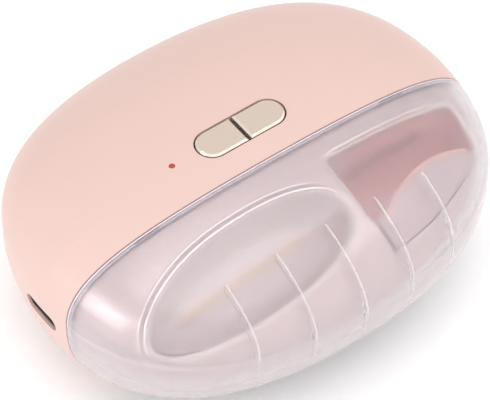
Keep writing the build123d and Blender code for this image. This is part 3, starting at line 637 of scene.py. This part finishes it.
def board_green():
    n = surface("board_green", (0.03, 0.17, 0.08), 0.3, grain=0.3, depth=0.003)
    tracks = n.add("ShaderNodeTexVoronoi", feature="DISTANCE_TO_EDGE")
    tracks.inputs["Scale"].default_value = 420
    n.link(n.place, tracks.inputs["Vector"])
    line = n.remap(tracks.outputs["Distance"], 1.0, 0.0, (0.02, 0.06))
    n.colour(n.blend(line, (0.03, 0.17, 0.08), (0.06, 0.28, 0.14)))
    return n.material


# One material for every slot of the record.
FINISHES = {
    "body_plastic": pink_plastic(),
    "clear_cover": clear_cover(),
    "silver_plastic": silver_paint(),
    "soft_pad": surface("soft_pad", (0.74, 0.62, 0.64), 0.4, 0.2, grain=0.14,
                        depth=0.002, variation=0.02).material,
    "bowl_plastic": bowl_gloss(),
    # Painted shade: the lining's light mauve turns to a darker pink higher up, for the shade
    # and the reflected pink glow in the bowl.
    "mat_rubber": surface("lining_mauve_and_shade", (0.74, 0.65, 0.67), 0.5, grain=0.3, depth=0.01,
                          turn=("Z", 24.0, 33.0, (0.62, 0.44, 0.44))).material,
    "liner_plastic": surface("liner_red", (0.86, 0.76, 0.77), 0.45, grain=0.22,
                             turn=("X", 10.5, 15.0, (1.0, 0.54, 0.54))).material,
    "guard_metal": surface("guard_red", (1.0, 0.54, 0.54), 0.38, 0.3, grain=0.2,
                           stretch=(1, 1, 0.1)).material,
    "button_metal": champagne(),
    "black_rubber": surface("black_silicone", (0.012, 0.012, 0.013), 0.6).material,
    "black_plastic": surface("black_plastic", (0.02, 0.02, 0.022), 0.4, depth=0.006).material,
    "board": board_green(),
    "led_body": surface("led_resin", (0.85, 0.82, 0.70), 0.25, variation=0.02).material,
    "light_pipe": red_lens(),
    "steel": surface("turned_steel", (0.56, 0.56, 0.57), 0.3, 1.0, grain=0.12,
                     depth=0.002, stretch=(1, 8, 8)).material,
    "cutter_steel": surface("ground_steel", (0.62, 0.62, 0.63), 0.24, 1.0, grain=0.1,
                            depth=0.003, stretch=(0.2, 5, 5)).material,
    "screw_steel": surface("zinc_screws", (0.40, 0.41, 0.43), 0.36, 1.0, grain=0.2).material,
    "brass": surface("brass", (0.70, 0.50, 0.22), 0.3, 1.0, grain=0.15,
                     stretch=(6, 1, 1)).material,
    "cell_wrap": surface("cell_wrap", (0.06, 0.15, 0.36), 0.24, grain=0.6, depth=0.01).material,
    "lead_red": surface("lead_red", (0.42, 0.02, 0.015), 0.45).material,
    "magnet": surface("ferrite", (0.05, 0.05, 0.055), 0.55, grain=0.1, depth=0.01).material,
    "gear_plastic": surface("acetal", (0.80, 0.78, 0.72), 0.38, variation=0.02).material,
    "chassis_plastic": surface("off_white", (0.66, 0.66, 0.65), 0.5, depth=0.005).material,
}

# Finishes of single faces and beads. All but the frosted inside are painted light: highlights,
# reflections and shade, as said at each.
frosted_inside = cover_plastic("frosted_inside", (0.975, 0.925, 0.94), 0.75, 0.32).material
# Painted highlight: the cover's rear rim is pale lilac and almost opaque, for the light that
# the rim catches.
cover_rim_sheen = cover_plastic("cover_rim_sheen", (0.95, 0.88, 0.95), 0.08, 0.24).material
# Painted highlights: cream on the rounded edges of the bowl's and the slot's mouths, and on the
# bead behind the slot.
bowl_rim_highlight = surface("bowl_rim_highlight", (0.97, 0.90, 0.86), 0.3, depth=0.001, variation=0.01).material
slot_rim_highlight = surface("slot_rim_highlight", (0.98, 0.91, 0.84), 0.25, 0.6, grain=0.2, depth=0.002).material
# Painted highlight and shade: light lines along the bowl's arch, with a dark line between them.
arch_highlight_paint = surface("arch_highlight_paint", (0.97, 0.92, 0.89), 0.18, 1.0, depth=0.001).material
arch_shade = surface("arch_shade", (0.64, 0.54, 0.56), 0.4, depth=0.001).material
# Painted reflection: peach along the rest's crest, for the red of the slot beside it.
peach_reflection = surface("peach_reflection_bead", (0.97, 0.62, 0.53), 0.4, variation=0.02).material
# Painted reflection: amber along the lining's edge, for the warm glow inside the bowl.
amber_reflection = surface("amber_reflection_bead", (0.93, 0.68, 0.42), 0.3, variation=0.05).material

for part in frame["record"]["subparts"]:
    mesh = NODES[part["node"]].data
    mesh.materials.clear()
    mesh.materials.append(FINISHES[part["material_slot"]])


def claim(obj, body, slot, *nodes):
    """Says what a piece rides on and hides the CAD nodes it stands for. The slot is not used.
    """
    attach(obj, body)
    if nodes:
        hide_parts(*nodes)


def fit(obj, body, slot, *nodes):
    obj.data.materials.append(FINISHES[slot])
    claim(obj, body, slot, *nodes)


# ------------------------------------------------------------------ dust cover
# The third slot is the painted highlight beside each rib, and the fourth is the painted
# highlight on the rear rim.
OUTSIDE, INSIDE, RIB, REAR_RIM_SHEEN = range(4)             # the cover's material slots


def raise_ribs(rings):
    """Lifts the ribs out of the cover: round in section, with a round start."""
    x, y, z = rings[..., 0], rings[..., 1], rings[..., 2]
    away = rings - np.array([0, 0, RIB_ROOT_Z])
    away /= np.linalg.norm(away, axis=-1)[..., None]
    height = np.zeros_like(x)
    for rib_x in RIB_XS:
        across = (x - rib_x) / RIB_HALF
        behind = np.clip((y - RIB_START_Y) / RIB_HALF + 1, 0, None)
        height = np.maximum(height, np.sqrt(np.clip(1 - across ** 2 - behind ** 2, 0, 1)))
    t = np.clip((z - RIB_FADE_Z[0]) / (RIB_FADE_Z[1] - RIB_FADE_Z[0]), 0, 1)
    fade = t * t * (3 - 2 * t)
    return rings + away * (height * fade * RIB_HEIGHT)[..., None]


def cover_finish(place, sign):
    """The material slot of a face of the outer skin, sign 1, or of the inner one, -1."""
    if sign < 0:
        return INSIDE
    # Faces just right of a rib's crest take the painted highlight.
    on_sheen_strip = any(RIB_SHEEN_SPAN[0] < place.x - rib_x < RIB_SHEEN_SPAN[1] for rib_x in RIB_XS)
    on_rib = RIB_START_Y + 0.1 > place.y and place.z > RIB_FADE_Z[0]
    return RIB if on_sheen_strip and on_rib else OUTSIDE


def make_cover():
    """Clear shell with raised ribs, a frosted inside and a rounded rear rim, with painted
    highlights beside the ribs and on the rim.
    """
    near_ribs = [rib_x + RIB_HALF * k / 5 for rib_x in RIB_XS for k in range(-7, 8)]
    outer = form_mesh(0, over=110, extra=near_ribs, lift=raise_ribs)
    inner = form_mesh(COVER_WALL)
    for bm, floor_z, sign in ((outer, 0, 1), (inner, COVER_WALL, -1)):
        cut(bm, UPRIGHT * floor_z, UPRIGHT, fill=True)
        cut(bm, FORWARDS * -COVER_REAR_Y, FORWARDS)
        ease_rim(bm, FORWARDS * -COVER_REAR_Y, FORWARDS, COVER_EASE, sign)
        for f in bm.faces:
            f.material_index = cover_finish(f.calc_center_median(), sign)
    joined = join_skins(outer, inner)
    # The rear rim's faces take the pale finish of a painted highlight.
    for f in joined.faces:
        if f.calc_center_median().y > COVER_REAR_Y - COVER_EASE:
            f.material_index = REAR_RIM_SHEEN
    cover = mesh_object("dust_cover", joined)
    fit(cover, "cover", "clear_cover", "front_cover")
    for material in (frosted_inside, rib_sheen_strip(), cover_rim_sheen):
        cover.data.materials.append(material)


def make_tab(name, side):
    """One snap tab: a rounded tongue that follows the form."""
    xs = side * TAB_X + TAB_HALF * np.linspace(-1, 1, 13)
    sheets = [
        [[grounds[inset].under((x, y, HIGH)) for x in xs] for y in np.linspace(*TAB_Y, 8)]
        for inset in TAB_INSET
    ]
    tab = mesh_object(name, slab(*sheets))
    ease_edges(tab, 0.15)
    fit(tab, "cover", "clear_cover")


# ----------------------------------------------------------------- front frame
# The mouths' rounded edges take cream finishes, which are painted highlights.
BOWL_MOUTH, SLOT_MOUTH = 1, 2                         # the frame's slots after its skin


def make_frame():
    """Silver shell under the cover, with round-edged mouths for the bowl and the slot, their
    edges painted cream as highlights.
    """
    outer, inner = form_mesh(FRAME_INSET), form_mesh(FRAME_INSET + FRAME_WALL)
    for bm, floor_z in ((outer, FRAME_FLOOR_Z), (inner, FRAME_FLOOR_Z + FRAME_WALL)):
        cut(bm, UPRIGHT * floor_z, UPRIGHT, fill=True)
        cut(bm, FORWARDS * -FRAME_REAR_Y, FORWARDS)
    obj = mesh_object("inner_frame", join_skins(outer, inner))
    for material in (FINISHES["silver_plastic"], bowl_rim_highlight, slot_rim_highlight):
        obj.data.materials.append(material)
    bowl = mouth_cutter(
        bowl_outline(*BOWL_HALF), bowl_point, BOWL_UP,
        [bowl_loop(depth) for depth in BOWL_CUT_DEPTHS], BOWL_FILLET, BOWL_MOUTH, BOWL_DROP,
    )
    slot = mouth_cutter(
        slot_outline(), lambda p: Vector((*p, HIGH)), UPRIGHT,
        [[Vector((*p, SLOT_BOTTOM_Z)) for p in slot_outline()]], SLOT_FILLET, SLOT_MOUTH,
    )
    rest = slab(rest_sheet(-REST_DEPTH - 0.1, 0), rest_sheet(5, 0))
    carve(obj, [bowl, slot, rest, box_mesh(*SKIRT_CUT), box_mesh(*PORT_CUT)])
    claim(obj, "body", "silver_plastic", "front_frame")


def make_bowl():
    """Glossy trough with a softly rounded floor, trimmed where it meets the frame."""
    depths = [*np.linspace(-4, 9.6, 26), 10.2, 10.6, 10.85]
    inside = [bowl_loop(d) for d in depths]
    inside += [bowl_loop(BOWL_DEPTH, 0, s) for s in (0.985, 0.95, 0.8, 0.6, 0.4, 0.2, 0.05)]
    outside = [bowl_loop(d, BOWL_WALL) for d in depths]
    outside += [
        bowl_loop(BOWL_DEPTH + BOWL_WALL, BOWL_WALL, s) for s in (0.97, 0.8, 0.5, 0.2, 0.05)
    ]
    bowl = mesh_object("bowl_trough", skin(outside[::-1] + inside))
    carve(bowl, [form_mesh(LINER_INSET)], "INTERSECT", 50)
    fit(bowl, "body", "bowl_plastic", "clippings_bowl")


def make_lining():
    """Soft lining of the bowl's front half, from its middle line up the front wall."""
    levels = [(d, 1.0) for d in np.linspace(MAT_TOP, 9.8, 12)]
    levels += [(10.4, 0.99), (10.9, 0.95), (BOWL_DEPTH, 0.85)]
    levels += [(BOWL_DEPTH, s) for s in (0.7, 0.5, 0.3, 0.1)]

    def sheet(gap):
        """The front half of each level line, so far from the trough."""
        rows = []
        for depth, shrink in levels:
            ring = bowl_loop(depth - gap * (shrink < 1), -gap, shrink)
            rows.append(ring[len(ring) // 2:] + ring[:1])
        return rows

    lining = mesh_object("bowl_lining", slab(sheet(MAT_GAP), sheet(MAT_GAP + MAT_THICKNESS)))
    fit(lining, "body", "mat_rubber", "bowl_mat")


def make_piping(name, points, radius, material, slot):
    """A thin round bead along some points, which tapers at both ends."""
    piping = bpy.data.curves.new(name, "CURVE")
    piping.dimensions = "3D"
    piping.bevel_depth = radius * MM
    piping.bevel_resolution = 4
    piping.use_fill_caps = True
    line = piping.splines.new("POLY")
    line.points.add(len(points) - 1)
    for spot, place, u in zip(line.points, points, np.linspace(0, 1, len(points))):
        spot.co = (*(place * MM), 1)
        spot.radius = min(1, 0.15 + 8 * min(u, 1 - u))
    obj = bpy.data.objects.new(name, piping)
    COLLECTION.objects.link(obj)
    obj.data.materials.append(material)
    claim(obj, "body", slot)


def arch_leg(top):
    """The arch's left end carried on straight down the frame's side."""
    outward = Vector((top.x, top.y, 0)).normalized()
    heights = np.linspace(top.z - 0.8, ARCH_FOOT_Z, 28)
    starts = [outward * 20 + UPRIGHT * z for z in heights]
    return [grounds[FRAME_INSET].under(p, outward) - outward * 0.1 for p in starts]


def make_lining_reflection_bead():
    """Amber piping along the lining's edge, across the bowl's floor and a little up it: a
    painted reflection of the warm glow inside the bowl.
    """
    points = [
        bowl_point((u, -0.1), BOWL_DEPTH - 0.5 - 1.6 * (abs(u) / LINING_BEAD_HALF) ** 6)
        for u in np.linspace(-LINING_BEAD_HALF, LINING_BEAD_HALF, 40)
    ]
    make_piping("lining_reflection_bead", points, LINING_BEAD_RADIUS, amber_reflection, "mat_rubber")


def make_arch():
    """Two light lines with a dark line between them along the bowl's arch: painted highlights
    and painted shade.

    The one nearest the bowl goes on down the frame's side at its left end."""
    rim = bowl_outline(*BOWL_HALF)
    for name, away, radius, start in ARCH_LINES:
        line = grow(rim, away)[start:ARCH_END]
        tops = [grounds[FRAME_INSET].under(bowl_point(p), BOWL_UP) for p in line]
        points = [top - BOWL_UP * ARCH_SINK for top in tops]
        if name == "arch_highlight_bead":
            points += arch_leg(points[-1])
        finish = arch_shade if name == "arch_shade_line" else arch_highlight_paint
        make_piping(name, points, radius, finish, "silver_plastic")


def make_rest_reflection_bead():
    """Peach piping along the rest's crest: a painted reflection of the red slot beside it."""
    crest = arc_through(
        (SLOT_LEFT_X + 1.2, SLOT_FRONT_LEFT_Y - 1.2), (SLOT_CREST[0], SLOT_CREST[1] - 0.5),
        (SLOT_RIGHT_X - 1.4, SLOT_FRONT_RIGHT_Y - 0.6), 50,
    )
    points = [on_frame(p) - UPRIGHT * REST_BEAD_SINK for p in crest]
    make_piping("rest_reflection_bead", points, REST_BEAD_RADIUS, peach_reflection, "soft_pad")


def make_slot_highlight_bead():
    """Cream piping behind the slot's rear edge: a painted highlight along that edge."""
    xs = np.linspace(SLOT_LEFT_X - 0.2, SLOT_RIGHT_X - 1.5, 40)
    points = [on_frame((x, SLOT_REAR_Y + 0.9)) - UPRIGHT * SLOT_BEAD_SINK for x in xs]
    make_piping("slot_highlight_bead", points, SLOT_BEAD_RADIUS, slot_rim_highlight, "silver_plastic")


def make_rest():
    """Crescent pad below the slot, in its recess."""
    rest = mesh_object("rest_pad", slab(rest_sheet(-REST_DEPTH, 0.03), rest_sheet(0.02, 0.03)))
    ease_edges(rest, 0.2)
    fit(rest, "body", "soft_pad", "finger_rest")


grounds = {inset: Ground(inset) for inset in (FRAME_INSET, *TAB_INSET)}
make_cover()
make_tab("tab_left", -1)
make_tab("tab_right", 1)
make_frame()
make_bowl()
make_lining()
make_lining_reflection_bead()
make_arch()
make_rest_reflection_bead()
make_slot_highlight_bead()
make_rest()

# ---------------------------------------------------------- floor and lights, metres
FLOOR_HALF = 3.0
FLOOR_DROP = 0.0002                   # keeps the floor clear of the object's flat base
WORLD_STRENGTH = (1.44, 0.72)         # from straight in front, and from straight behind


def make_floor():
    """A plain pale sheet of paper."""
    bm = bmesh.new()
    bmesh.ops.create_grid(bm, x_segments=1, y_segments=1, size=FLOOR_HALF)
    mesh = bpy.data.meshes.new("floor")
    bm.to_mesh(mesh)
    bm.free()
    floor = bpy.data.objects.new("floor", mesh)
    floor.location.z = -FLOOR_DROP
    COLLECTION.objects.link(floor)
    paper = surface("paper", (0.95, 0.95, 0.95), 0.9, grain=2.0, depth=0.001, variation=0.003)
    floor.data.materials.append(paper.material)


def make_world():
    """White light from all round, stronger from the front than from the back."""
    world = bpy.data.worlds.new("studio")
    bpy.context.scene.world = world
    world.use_nodes = True
    nodes, links = world.node_tree.nodes, world.node_tree.links
    background = nodes["Background"]
    background.inputs["Color"].default_value = (1, 1, 1, 1)
    split = nodes.new("ShaderNodeSeparateXYZ")
    glow = nodes.new("ShaderNodeMapRange")
    glow.inputs["From Min"].default_value, glow.inputs["From Max"].default_value = -1, 1
    glow.inputs["To Min"].default_value, glow.inputs["To Max"].default_value = WORLD_STRENGTH
    links.new(nodes.new("ShaderNodeTexCoord").outputs["Generated"], split.inputs[0])
    links.new(split.outputs["Y"], glow.inputs["Value"])
    links.new(glow.outputs["Result"], background.inputs["Strength"])


def softbox(name, place, size, power):
    """A square area light that faces the object."""
    light = bpy.data.lights.new(name, "AREA")
    light.size = size
    light.energy = power
    obj = bpy.data.objects.new(name, light)
    obj.location = place
    aim = Vector((0, 0, 0.02)) - obj.location
    obj.rotation_euler = aim.to_track_quat("-Z", "Y").to_euler()
    COLLECTION.objects.link(obj)


make_floor()
make_world()
softbox("left_softbox", (-0.60, 0.02, 0.25), 0.34, 1.0)
softbox("top_softbox", (0.06, -0.15, 0.85), 0.80, 2.4)

# ---------------------------------------------------- camera, in degrees and metres
CAMERA_TURN = -35.97                  # about Z, from straight in front
CAMERA_RISE = 49.92
CAMERA_ROLL = -0.44
CAMERA_DISTANCE = 0.692
CAMERA_LENS = 275                     # millimetres, on a sensor 36 wide
CAMERA_SHIFT = (-0.0032, -0.0248)


def make_camera():
    """Looks down on the middle of the body, from the front and the left.

    Its place follows from the proportions of the object's outline."""
    turn, rise = math.radians(CAMERA_TURN), math.radians(CAMERA_RISE)
    outwards = Vector((
        math.sin(turn) * math.cos(rise), -math.cos(turn) * math.cos(rise), math.sin(rise)
    ))
    lens = bpy.data.cameras.new("camera")
    lens.sensor_width = 36
    lens.lens = CAMERA_LENS
    lens.shift_x, lens.shift_y = CAMERA_SHIFT
    camera = bpy.data.objects.new("camera", lens)
    COLLECTION.objects.link(camera)
    bpy.context.scene.camera = camera
    camera.location = UPRIGHT * EQUATOR * MM + outwards * CAMERA_DISTANCE
    camera.rotation_mode = "QUATERNION"
    level = (-outwards).to_track_quat("-Z", "Y")
    camera.rotation_quaternion = level @ Quaternion(UPRIGHT, math.radians(CAMERA_ROLL))


make_camera()
bpy.context.scene.view_settings.view_transform = "Standard"
